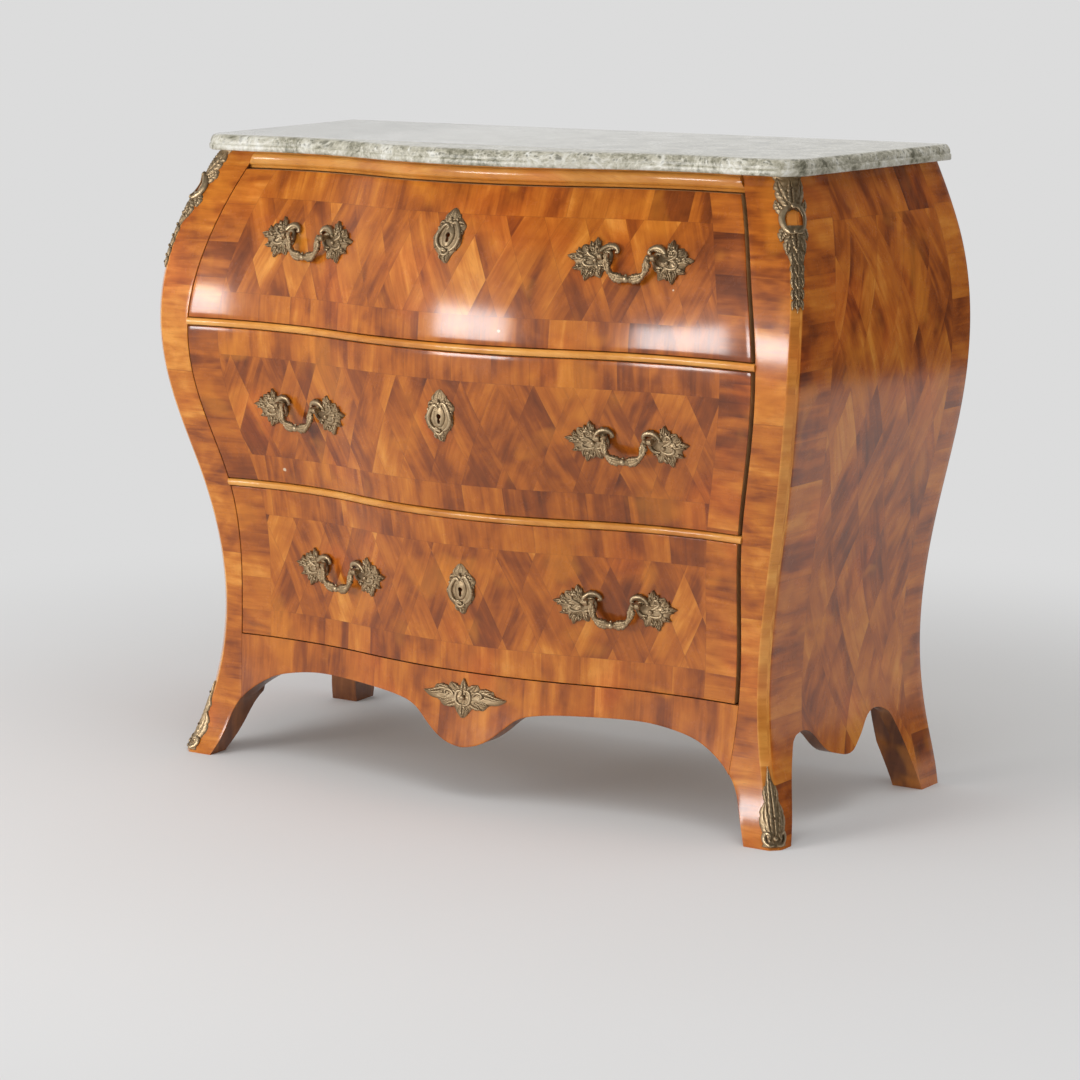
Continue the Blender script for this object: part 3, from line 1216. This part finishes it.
BOW_RADIUS = 26.2
BOW_SQUARENESS = 2.9
BAR_RADIUS = 3.5
COLLAR_SIZE = 4.5


class GeometryTree(Tree):
    """A Geometry Nodes tree with named inputs."""

    def __init__(self, name, inputs):
        group = bpy.data.node_groups.new(name, "GeometryNodeTree")
        super().__init__(group)
        self.identifiers = {}
        for label, kind, default in inputs:
            socket = group.interface.new_socket(label, in_out="INPUT", socket_type=kind)
            if default is not None:
                socket.default_value = default
            self.identifiers[label] = socket.identifier
        group.interface.new_socket("Geometry", in_out="OUTPUT", socket_type="NodeSocketGeometry")
        self.given = group.nodes.new("NodeGroupInput").outputs

    def result(self, geometry, material):
        real = self.signal("GeometryNodeRealizeInstances", {0: geometry})
        painted = self.signal("GeometryNodeSetMaterial", {"Geometry": real, "Material": material})
        self.node("NodeGroupOutput", {0: painted})

    def grow(self, obj, **values):
        """Run the tree once on an object and leave it a plain mesh object."""
        modifier = obj.modifiers.new("tree", "NODES")
        modifier.node_group = self.tree
        for label, value in values.items():
            modifier[self.identifiers[label.replace("_", " ").capitalize()]] = value
        apply_modifier(obj)
        return obj


def bail_tree():
    """A hanging bow: an arc whose bar swells in the middle, with leaf collars in pairs along it."""
    tree = GeometryTree("bail_bow", [
        ("Ring radius", "NodeSocketFloat", 0.027), ("Bar radius", "NodeSocketFloat", 0.0028),
        ("Collars", "NodeSocketInt", 9), ("Collar size", "NodeSocketFloat", 0.0042)])
    arc = tree.signal("GeometryNodeCurveArc", {"Resolution": 72, "Radius": tree.given["Ring radius"],
                                               "Start Angle": math.pi, "Sweep Angle": math.pi},
                                               mode="RADIUS")
    share = tree.signal("GeometryNodeSplineParameter", output="Factor")
    hump = tree.math("SINE", share * math.pi)
    beads = tree.math("ABSOLUTE", tree.math("SINE", share * (math.pi * 7)))
    swell = tree.math("POWER", hump, 3.0) * 0.28 + (beads * 0.12 + 0.84)
    radius = swell * tree.given["Bar radius"]
    sized = tree.signal("GeometryNodeSetCurveRadius", {"Curve": arc, "Radius": radius})
    ring = tree.signal("GeometryNodeCurvePrimitiveCircle", {"Resolution": 14, "Radius": 1.0}, mode="RADIUS")
    rod = tree.signal("GeometryNodeCurveToMesh", {"Curve": sized, "Profile Curve": ring, "Scale": radius,
                                                  "Fill Caps": True})
    points = tree.node("GeometryNodeCurveToPoints", {"Curve": arc, "Count": tree.given["Collars"]},
                       mode="COUNT")
    petal = tree.signal("GeometryNodeMeshCone", {"Vertices": 10, "Side Segments": 3, "Radius Top": 0.35,
                                                 "Radius Bottom": 1.0, "Depth": 1.6})
    centred = tree.signal("GeometryNodeSetPosition", {"Geometry": petal, "Offset": (0.0, 0.0, -0.8)})
    collars = tree.signal("GeometryNodeInstanceOnPoints", {
        "Points": points.outputs[0], "Instance": centred, "Rotation": points.outputs["Rotation"],
        "Scale": tree.given["Collar size"]})
    both = tree.node("GeometryNodeJoinGeometry", {0: rod})
    tree.feed(both, 0, collars)
    tree.result(both.outputs[0], bronze)
    return tree


BAIL_TREE = bail_tree()


def squarer_bow(points):
    """Push the half ring's shoulders out, so that it hangs as a flat-bottomed bow."""
    points = np.asarray(points, float)
    flat = points / np.maximum(np.hypot(*points.T), 1e-6)[:, None]
    wanted = (np.abs(flat) ** BOW_SQUARENESS).sum(1) ** (-1 / BOW_SQUARENESS)
    return points + flat * (BOW_RADIUS * (wanted - 1))[:, None]


def bow_arc(*angles):
    """Points along the bow at these angles from its lowest point, degrees."""
    angles = np.radians(angles)
    return squarer_bow(np.c_[BOW_RADIUS * np.sin(angles), -BOW_RADIUS * np.cos(angles)])


def bail(drawer, side):
    """The bow from the tree, with leaves that clasp it, knuckles and pins, hung on its hinge."""
    name = f"{drawer}_{side}_bail"
    _, to_hinge = hinge_placer(drawer, side)
    bow_obj = add_object(f"{drawer}_{side}_bow", bpy.data.meshes.new(f"{drawer}_{side}_bow"))
    mesh = BAIL_TREE.grow(bow_obj, ring_radius=BOW_RADIUS * MM, bar_radius=BAR_RADIUS * MM, collars=9,
                          collar_size=COLLAR_SIZE * MM).data
    points = np.zeros(len(mesh.vertices) * 3)
    mesh.vertices.foreach_get("co", points)
    points = points.reshape(-1, 3) / MM
    bow_line = squarer_bow(points[:, :2])
    build = Build()
    build.add(to_hinge(np.c_[bow_line[:, 0], points[:, 2], bow_line[:, 1]]),
              [tuple(polygon.vertices) for polygon in mesh.polygons], relief=np.full(len(points), 0.62))
    bpy.data.objects.remove(bow_obj)
    # across and up in the plane of the bow, out towards the viewer
    casting = Casting(lambda grid: to_hinge(grid[..., [0, 2, 1]] * (1, -1, 1)), build)
    for hand in (-1, 1):
        casting.leaves(hand, [
            (bow_arc(6, 22, 38, 54), 13.5, 4.0, 4, 0.8, 22, 0.8),
            (bow_arc(86, 74, 60, 46), 11.5, 3.6, 3, 0.8, 20, 1.0)])
        bar(build, to_hinge, hand, KNUCKLE)
        bar(build, to_hinge, hand, PIN)
    casting.balls(1, [((0, -BOW_RADIUS), 4.6, 2.4, 9, 16), ((0, -21.8), 2.0, 1.8)])
    casting.finish(f"{name}_cast", name, name)


for drawer in DRAWERS:
    for side in ("left", "right"):
        handle_plates(drawer, side)
        bail(drawer, side)

# ---------------------------------------------------------------- escutcheons

ESCUTCHEON = [(2, 33), (9, 27), (15, 20), (22, 12), (19, 3), (19, -8), (13, -17), (7, -24), (1, -33),
              (-6, -30), (-12, -23), (-19, -16), (-22, -6), (-18, 3), (-17, 12), (-11, 20), (-6, 28)]


def keyhole_rim(outward):
    """Points on the keyhole's rim in these directions, millimetres."""
    hole = keyhole_outline(60) / MM
    angle = np.arctan2(hole[:, 1], hole[:, 0]) % (2 * np.pi)
    order = np.argsort(angle)
    asked = np.arctan2(outward[:, 1], outward[:, 0]) % (2 * np.pi)
    radius = np.interp(asked, angle[order], np.hypot(*hole.T)[order], period=2 * np.pi)
    return np.c_[np.cos(asked), np.sin(asked)] * radius[:, None]


def escutcheon(drawer):
    """A leaning cartouche: a shield with the keyhole, scrolls round it and leaves off it."""
    on_plate = on_front(0.0, KEY_Z[drawer])

    def place(grid):
        """The relief runs out towards the top, where the front swells most."""
        height = 1 - 0.30 * np.clip((grid[..., 1] - 2) / 16, 0, 1)
        return on_plate(np.concatenate([grid[..., :2], (grid[..., 2] * height)[..., None]], axis=-1))
    casting = Casting(place)
    casting.pierced_plate(ESCUTCHEON, 1.7, 0.9)
    turn = np.linspace(0, 2 * math.pi, 12, endpoint=False)
    casting.pierced_plate(np.c_[9 * np.sin(turn) + 1.6 * np.cos(turn), 13.5 * np.cos(turn) - 1.0], 3.4, 1.5)
    casting.scrolls(1, [
        ([(-2, -19), (-12, -14), (-16.5, -3), (-12, 8), (-5, 13), (-2, 9.5), (-5, 7)], 2.9, 1.8),
        ([(5, -18), (13, -11), (15.5, 0), (12, 10), (5, 16), (2, 13), (4.5, 10.5)], 2.9, 1.8),
        ([(4, -19), (-1, -23), (-7, -20), (-6, -15.5), (-3, -17)], 2.2, 2.2)])
    casting.leaves(1, [
        ([(0, 14), (-0.5, 20), (1, 27), (2, 32.5)], 15, 3.4, 4, 0.6),
        ([(3, 15), (9, 21), (11, 26)], 10, 3.0, 3, 0.6), ([(-3, 15), (-7, 21), (-6.5, 27)], 10, 3.0, 3, 0.6),
        ([(7, 13), (14, 14.5), (21, 12.5)], 11, 3.6, 3, 1.2),
        ([(12, 5), (17, 4.5), (20, 2.5)], 9, 3.2, 2, 1.0),
        ([(12, -5), (16, -7), (19, -8.5)], 9, 3.2, 2, 1.0),
        ([(-8, 12), (-13, 14), (-16.5, 12.5)], 10, 3.4, 3, 1.2),
        ([(-13, -2), (-18, -3), (-22, -6)], 11, 3.6, 3, 1.2),
        ([(-11, -11), (-15, -14), (-18.5, -16)], 10, 3.4, 3, 1.2),
        ([(8, -13), (12, -16), (13, -18)], 9, 3.2, 2, 1.0),
        ([(0, -17), (0, -23), (0, -28), (1, -32.5)], 13, 4.0, 4, 1.4),
        ([(-4, -20), (-8, -25), (-6.5, -29.5)], 9, 3.2, 3, 1.0)])
    casting.balls(1, [
        ((0.5, 16), 2.6, 4.0), ((-0.5, -18), 2.4, 4.0), ((-15, 8), 2.0, 4.0), ((17, -3), 2.0, 4.0),
        ((9, 19), 1.9, 4.0)])
    casting.finish(f"{drawer}_escutcheon_cast", f"{drawer}_drawer", f"{drawer}_escutcheon")


for drawer in DRAWERS:
    escutcheon(drawer)

# ---------------------------------------------------------------- corner, foot and apron mounts

LEAF_LOBES = [(0, 1), (0.12, 0.86), (0.28, 1.0), (0.44, 0.72), (0.6, 0.82), (0.78, 0.5), (1, 0.04)]
SHOULDER_LOBES = [(0, 1), (0.3, 0.84), (0.6, 1), (1, 0.66)]
HUSKS = ((720, 15), (705, 14), (691, 13), (678, 11.5), (666, 9.5))       # height and width
APRON_MOUNT_Z = 131 * MM
APRON_SPRAY_HALF = [(0, 25), (7, 14), (20, 18), (27, 9), (43, 12), (48, 4), (63, 3), (50, -5), (38, -7),
                    (29, -14), (18, -11), (8, -20), (0, -26)]


def lobed_strip(broad_z, tip_z, broad_half, tip_half, dome=2.2, count=60, lobes=LEAF_LOBES):
    """The backing leaf of a corner mount, from its broad end to its tip, as closed loops."""
    share = np.linspace(0, 1, count)[:, None]
    knots = np.array(lobes)
    half = (broad_half + (tip_half - broad_half) * share) * smooth_curve(knots[:, 0], knots[:, 1])(share)
    z = broad_z + (tip_z - broad_z) * share
    across = np.array((-1, -0.93, -0.78, -0.55, -0.28, 0, 0.28, 0.55, 0.78, 0.93, 1))[None]
    crimp = 0.55 + 0.45 * np.cos(share * 34) * np.abs(across)
    out = 0.7 + dome * np.sqrt(1 - np.abs(across) ** 2.5) * crimp
    top = np.dstack([across * np.maximum(half, 0.5), z + 0 * across, out])
    under = top[:, ::-1].copy()
    under[..., 2] = -0.3
    relief = np.clip(out / dome * 0.75, 0, 1)
    return np.concatenate([top, under], axis=1), np.concatenate([relief, relief[:, ::-1] * 0.2], axis=1)


def corner_chute():
    """Lobes under the stone, a pierced cartouche, and a drop of husks down the arris."""
    casting = Casting(on_corner)
    casting.loops(1, *lobed_strip(800, 764, 18, 15, count=30, lobes=SHOULDER_LOBES))
    casting.loops(1, *lobed_strip(746, 649, 13.5, 7))
    for hand in (-1, 1):
        casting.leaves(hand, [
            ([(2, 764), (9, 776), (13, 787), (14, 799)], 14, 3.6, 4, 0.6),
            ([(8, 760), (15, 765), (18, 774)], 11, 3.2, 3, 0.8),
            ([(8, 744), (14, 737), (16, 728)], 10, 3.0, 3, 0.8),
            ([(3, 738), (9, 728), (11, 714)], 10, 3.2, 3, 0.8)])
        casting.scrolls(hand, [([(1, 738), (9, 740), (13.5, 748), (13, 757), (9, 764), (2, 768)], 3.3, 1.6)])
        casting.balls(hand, [((14, 755), 2.4, 2.6), ((15, 781), 2.0, 2.4)])
    casting.leaves(1, [
        ([(0, 766), (0, 782), (0, 799)], 13, 4.8, 5, 0.8),
        ([(0, 744), (0.5, 730), (0, 714)], 14, 4.4, 4, 0.8)])
    for start, size in HUSKS:
        for hand in (-1, 1):
            husk = [(1, start), (4.8, start - 7), (6.4, start - 14)]
            casting.leaf(hand, husk, size * 0.7, 2.8, 2, 0.9, 16)
        casting.leaf(1, [(0, start), (0, start - 8), (0, start - 15)], size * 0.8, 3.6, 3, 0.9, 20)
        casting.balls(1, [((0, start - 1), 2.0, 3.6)])
    casting.balls(1, [((0, 767), 3.4, 4.6), ((0, 739), 3.0, 4.4)])
    return casting


def foot_sabot():
    """A leafy shoe on the toe: scrolls at the floor and a flame up the arris."""
    casting = Casting(on_corner)
    casting.loops(1, *lobed_strip(3, 94, 15, 8, dome=2.0))
    for hand in (-1, 1):
        casting.leaves(hand, [
            ([(3, 8), (9, 22), (11, 38), (8, 54)], 12, 3.0, 4, 0.8),
            ([(9, 18), (12, 27), (13, 36)], 8, 2.6, 3, 0.8),
            ([(2, 48), (6, 60), (6.5, 72)], 9, 2.6, 3, 0.8)])
        casting.scrolls(hand, [([(2, 5), (10, 5.5), (13.5, 12), (10, 18), (6, 15), (8.5, 11.5)], 2.3, 1.6)])
    casting.leaf(1, [(0, 4), (0, 30), (0, 62), (0, 93)], 13, 3.8, 7, 0.8, 44)
    casting.balls(1, [((0, 12), 3.2, 3.6)])
    return casting


def apron_spray():
    casting = Casting(on_front(0.0, APRON_MOUNT_Z))
    left_half = [(-x, z) for x, z in reversed(APRON_SPRAY_HALF[1:-1])]
    casting.loops(1, *cast_plate(APRON_SPRAY_HALF + left_half, (0, 0), 1.8, 0.8))
    for hand in (-1, 1):
        casting.leaves(hand, [
            ([(3, 0), (18, 5), (34, 6), (48, 3), (62, 3)], 12, 3.6, 6, 1.2, 40),
            ([(5, 6), (12, 12), (19.5, 17.5)], 11, 3.2, 3, 1.2),
            ([(20, 6), (31, 10), (42, 11.5)], 10, 3.0, 3, 1.2),
            ([(14, -1), (27, -5), (38, -6.5)], 10, 3.0, 3, 1.2),
            ([(6, -5), (17, -9), (28.5, -13)], 11, 3.0, 3, 1.2),
            ([(3, -9), (6, -15), (8, -19.5)], 8, 2.8, 2, 1.0)])
        casting.scrolls(hand, [
            ([(1, -10), (9, -7), (11, 1), (7, 8), (2, 7), (3, 3.5)], 2.2, 1.8),
            ([(14, 2), (22, 8), (28, 5), (26, 1.5), (22.5, 3)], 1.7, 2.4)])
    casting.leaves(1, [
        ([(0, 4), (0, 12), (0, 24.5)], 12, 3.8, 3, 1.2), ([(0, -4), (0, -14), (0, -25.5)], 12, 3.8, 3, 1.2)])
    casting.balls(1, [((0, 0), 3.8, 4.0)])
    casting.finish("apron_spray_cast", "carcass", "apron_mount")


for label, casting in (("corner_mount", corner_chute()), ("foot_mount", foot_sabot())):
    for side, half in (("right", casting.build), ("left", mirrored(casting.build))):
        Casting(None, half).finish(f"{side}_{label}_cast", "carcass", f"{side}_{label}", metal=rubbed_bronze)
apron_spray()

# ---------------------------------------------------------------- the pins that hold the mounts

PIN_HEAD_RADIUS = 1.7 * MM


def pin_tree():
    tree = GeometryTree("mount_pins", [("Geometry", "NodeSocketGeometry", None),
                                       ("Head radius", "NodeSocketFloat", 0.0017)])
    head = tree.signal("GeometryNodeMeshUVSphere", {"Segments": 12, "Rings": 7, "Radius": 1.0})
    flat = tree.signal("GeometryNodeTransform", {"Geometry": head, "Scale": (1.0, 1.0, 0.6)})
    normal = tree.signal("GeometryNodeInputNamedAttribute", {"Name": "outward"}, data_type="FLOAT_VECTOR")
    turn = tree.signal("FunctionNodeAlignRotationToVector", {"Vector": normal}, axis="Z")
    pins = tree.signal("GeometryNodeInstanceOnPoints", {
        "Points": tree.given["Geometry"], "Instance": flat, "Rotation": turn,
        "Scale": tree.given["Head radius"]})
    tree.result(pins, bronze)
    return tree


PIN_TREE = pin_tree()


def pins(name, body, place, out, *spots):
    """Round pin heads at (across, up) spots, millimetres, standing this far out."""
    flat = np.array([(across, up, out) for across, up in spots], float)
    here = place(flat)
    outward = unit(place(flat + (0, 0, 1)) - here)
    mesh = bpy.data.meshes.new(name)
    mesh.from_pydata(here.tolist(), [], [])
    mesh.attributes.new("outward", "FLOAT_VECTOR", "POINT").data.foreach_set("vector", outward.ravel())
    obj = PIN_TREE.grow(add_object(name, mesh), head_radius=PIN_HEAD_RADIUS)
    obj.data.shade_smooth()
    place_piece(obj, body, "bronze")


for drawer in DRAWERS:
    pins(f"{drawer}_escutcheon_pins", f"{drawer}_drawer", on_front(0.0, KEY_Z[drawer]), 3.2, (0.5, 20),
         (-2, -23))
for side, place in (("right", on_corner), ("left", left_corner)):
    pins(f"{side}_corner_pins", "carcass", place, 3.6, (0, 787), (0, 730), (0, 656))
    pins(f"{side}_foot_pins", "carcass", place, 3.8, (0, 34), (0, 78))
pins("apron_spray_pins", "carcass", on_front(0.0, APRON_MOUNT_Z), 3.6, (-30, 4), (30, 4))

# ================================================================ CAD pieces that stay

def paint_node(name, material):
    mesh = nodes[name].data
    mesh.materials.clear()
    mesh.materials.append(material)


BOARD_AXES = {"subtop_board": "X", "bottom_rail": "X", "back_panel": "Z", "upper_dust_board": "X",
              "lower_dust_board": "X", "bottom_board": "X", "drawer_guides": "Y", "drawer_stops": "X"}
BOX_AXES = {"left_side": "Y", "right_side": "Y", "back": "X", "bottom": "X"}
for name, axis in BOARD_AXES.items():
    paint_node(name, carcass_wood[axis])
for drawer in DRAWERS:
    for part, axis in BOX_AXES.items():
        paint_node(f"{drawer}_{part}", carcass_wood[axis])
    for part in ("lock_case", "lock_bolt"):
        paint_node(f"{drawer}_{part}", iron)

# ================================================================ floor, light, camera

BACKDROP = 0.715                 # the studio's pale grey, as the camera and polished surfaces see it
CEILING = 0.05
FLOOR_TONE = 0.735
FLOOR_HALF = 60.0
WORLD_LIGHT = 0.62
WHITE = (1.0, 1.0, 1.0, 1)


def seen(paint):
    """1 for what the camera, gloss or glass sees directly."""
    return paint.math("MINIMUM", paint.sees("Is Camera Ray", "Is Glossy Ray", "Is Transmission Ray"), 1.0)


def floor_material():
    """A pale floor that runs into the backdrop's tone away from the chest."""
    paint = Finish("pale_floor")
    place = paint.position()
    cloud = paint.noise(place, scale=1.6, detail=2.0)
    colour = paint.blend(cloud, (FLOOR_TONE * 0.985, FLOOR_TONE * 0.98, FLOOR_TONE * 0.97, 1),
                         (FLOOR_TONE * 1.01, FLOOR_TONE * 1.01, FLOOR_TONE * 1.01, 1))
    lit = paint.signal("ShaderNodeBsdfPrincipled", {"Base Color": colour, "Roughness": 0.8,
                                                    "Specular IOR Level": 0.1})
    distance = paint.signal("ShaderNodeVectorMath", {0: place}, "Value", operation="LENGTH")
    beyond = paint.step(distance, 2.4, 3.1) * paint.step(paint.parts(place)[0], 0.5, 1.2)
    hidden = beyond * (1.0 - paint.sees("Is Camera Ray"))
    far = paint.signal("ShaderNodeEmission", {"Color": WHITE,
                                              "Strength": paint.mix(hidden, BACKDROP, CEILING)})
    share = paint.step(distance, 0.80, 1.7) * seen(paint)
    return paint.close(paint.node("ShaderNodeMixShader", {0: share, 1: lit, 2: far}))


floor_build = Build()
floor_build.add([(x * FLOOR_HALF, y * FLOOR_HALF, 0) for x, y in ((-1, -1), (1, -1), (1, 1), (-1, 1))],
                [(0, 1, 2, 3)])
floor_build.mesh("floor", [floor_material()], recalc=False)

scene = bpy.context.scene
scene.view_settings.view_transform = "Standard"


def studio_world():
    """Even light for the object; the backdrop and a dim ceiling for the camera and for gloss."""
    world = bpy.data.worlds.new("studio")
    world.use_nodes = True
    paint = Shading(world.node_tree)
    right, _, up = paint.parts(paint.signal("ShaderNodeTexCoord", output="Generated"))
    dim = paint.math("MAXIMUM", paint.step(up, 0.28, 0.60), paint.step(right, 0.20, 0.42))
    shown = paint.mix(dim * (1.0 - paint.sees("Is Camera Ray")), BACKDROP, CEILING)
    level = paint.mix(seen(paint), WORLD_LIGHT, shown)
    background = paint.signal("ShaderNodeBackground", {"Color": WHITE, "Strength": level})
    paint.node("ShaderNodeOutputWorld", {0: background})
    return world


scene.world = studio_world()


def softbox(name, place, target, width, height, power, mirrored_in_gloss=True):
    data = bpy.data.lights.new(name, "AREA")
    data.shape = "RECTANGLE"
    data.size = width
    data.size_y = height
    data.energy = power
    light = add_object(name, data)
    light.location = place
    light.rotation_euler = (Vector(target) - Vector(place)).to_track_quat("-Z", "Y").to_euler()
    light.visible_glossy = mirrored_in_gloss


softbox("left_window", (-1.6, -3.65, 0.93), (0, -0.1, 0.5), 1.45, 0.62, 50)
softbox("left_fill", (-2.2, -3.2, 1.9), (0, -0.1, 0.4), 2.2, 2.0, 32, mirrored_in_gloss=False)
softbox("overhead", (0.6, -0.8, 3.6), (0, 0, 0), 2.6, 2.6, 34, mirrored_in_gloss=False)

FOCAL_PX = 3352.0
IMAGE_PX = 1080.0
SENSOR_MM = 36.0
camera_data = bpy.data.cameras.new("camera")
camera_data.sensor_width = SENSOR_MM
camera_data.lens = FOCAL_PX / IMAGE_PX * SENSOR_MM
camera_data.clip_end = 300
camera = add_object("camera", camera_data)
camera.location = (2.332, -3.580, 1.106)
camera.rotation_euler = (math.radians(90 - 10.6), 0, math.radians(33.05))
scene.camera = camera
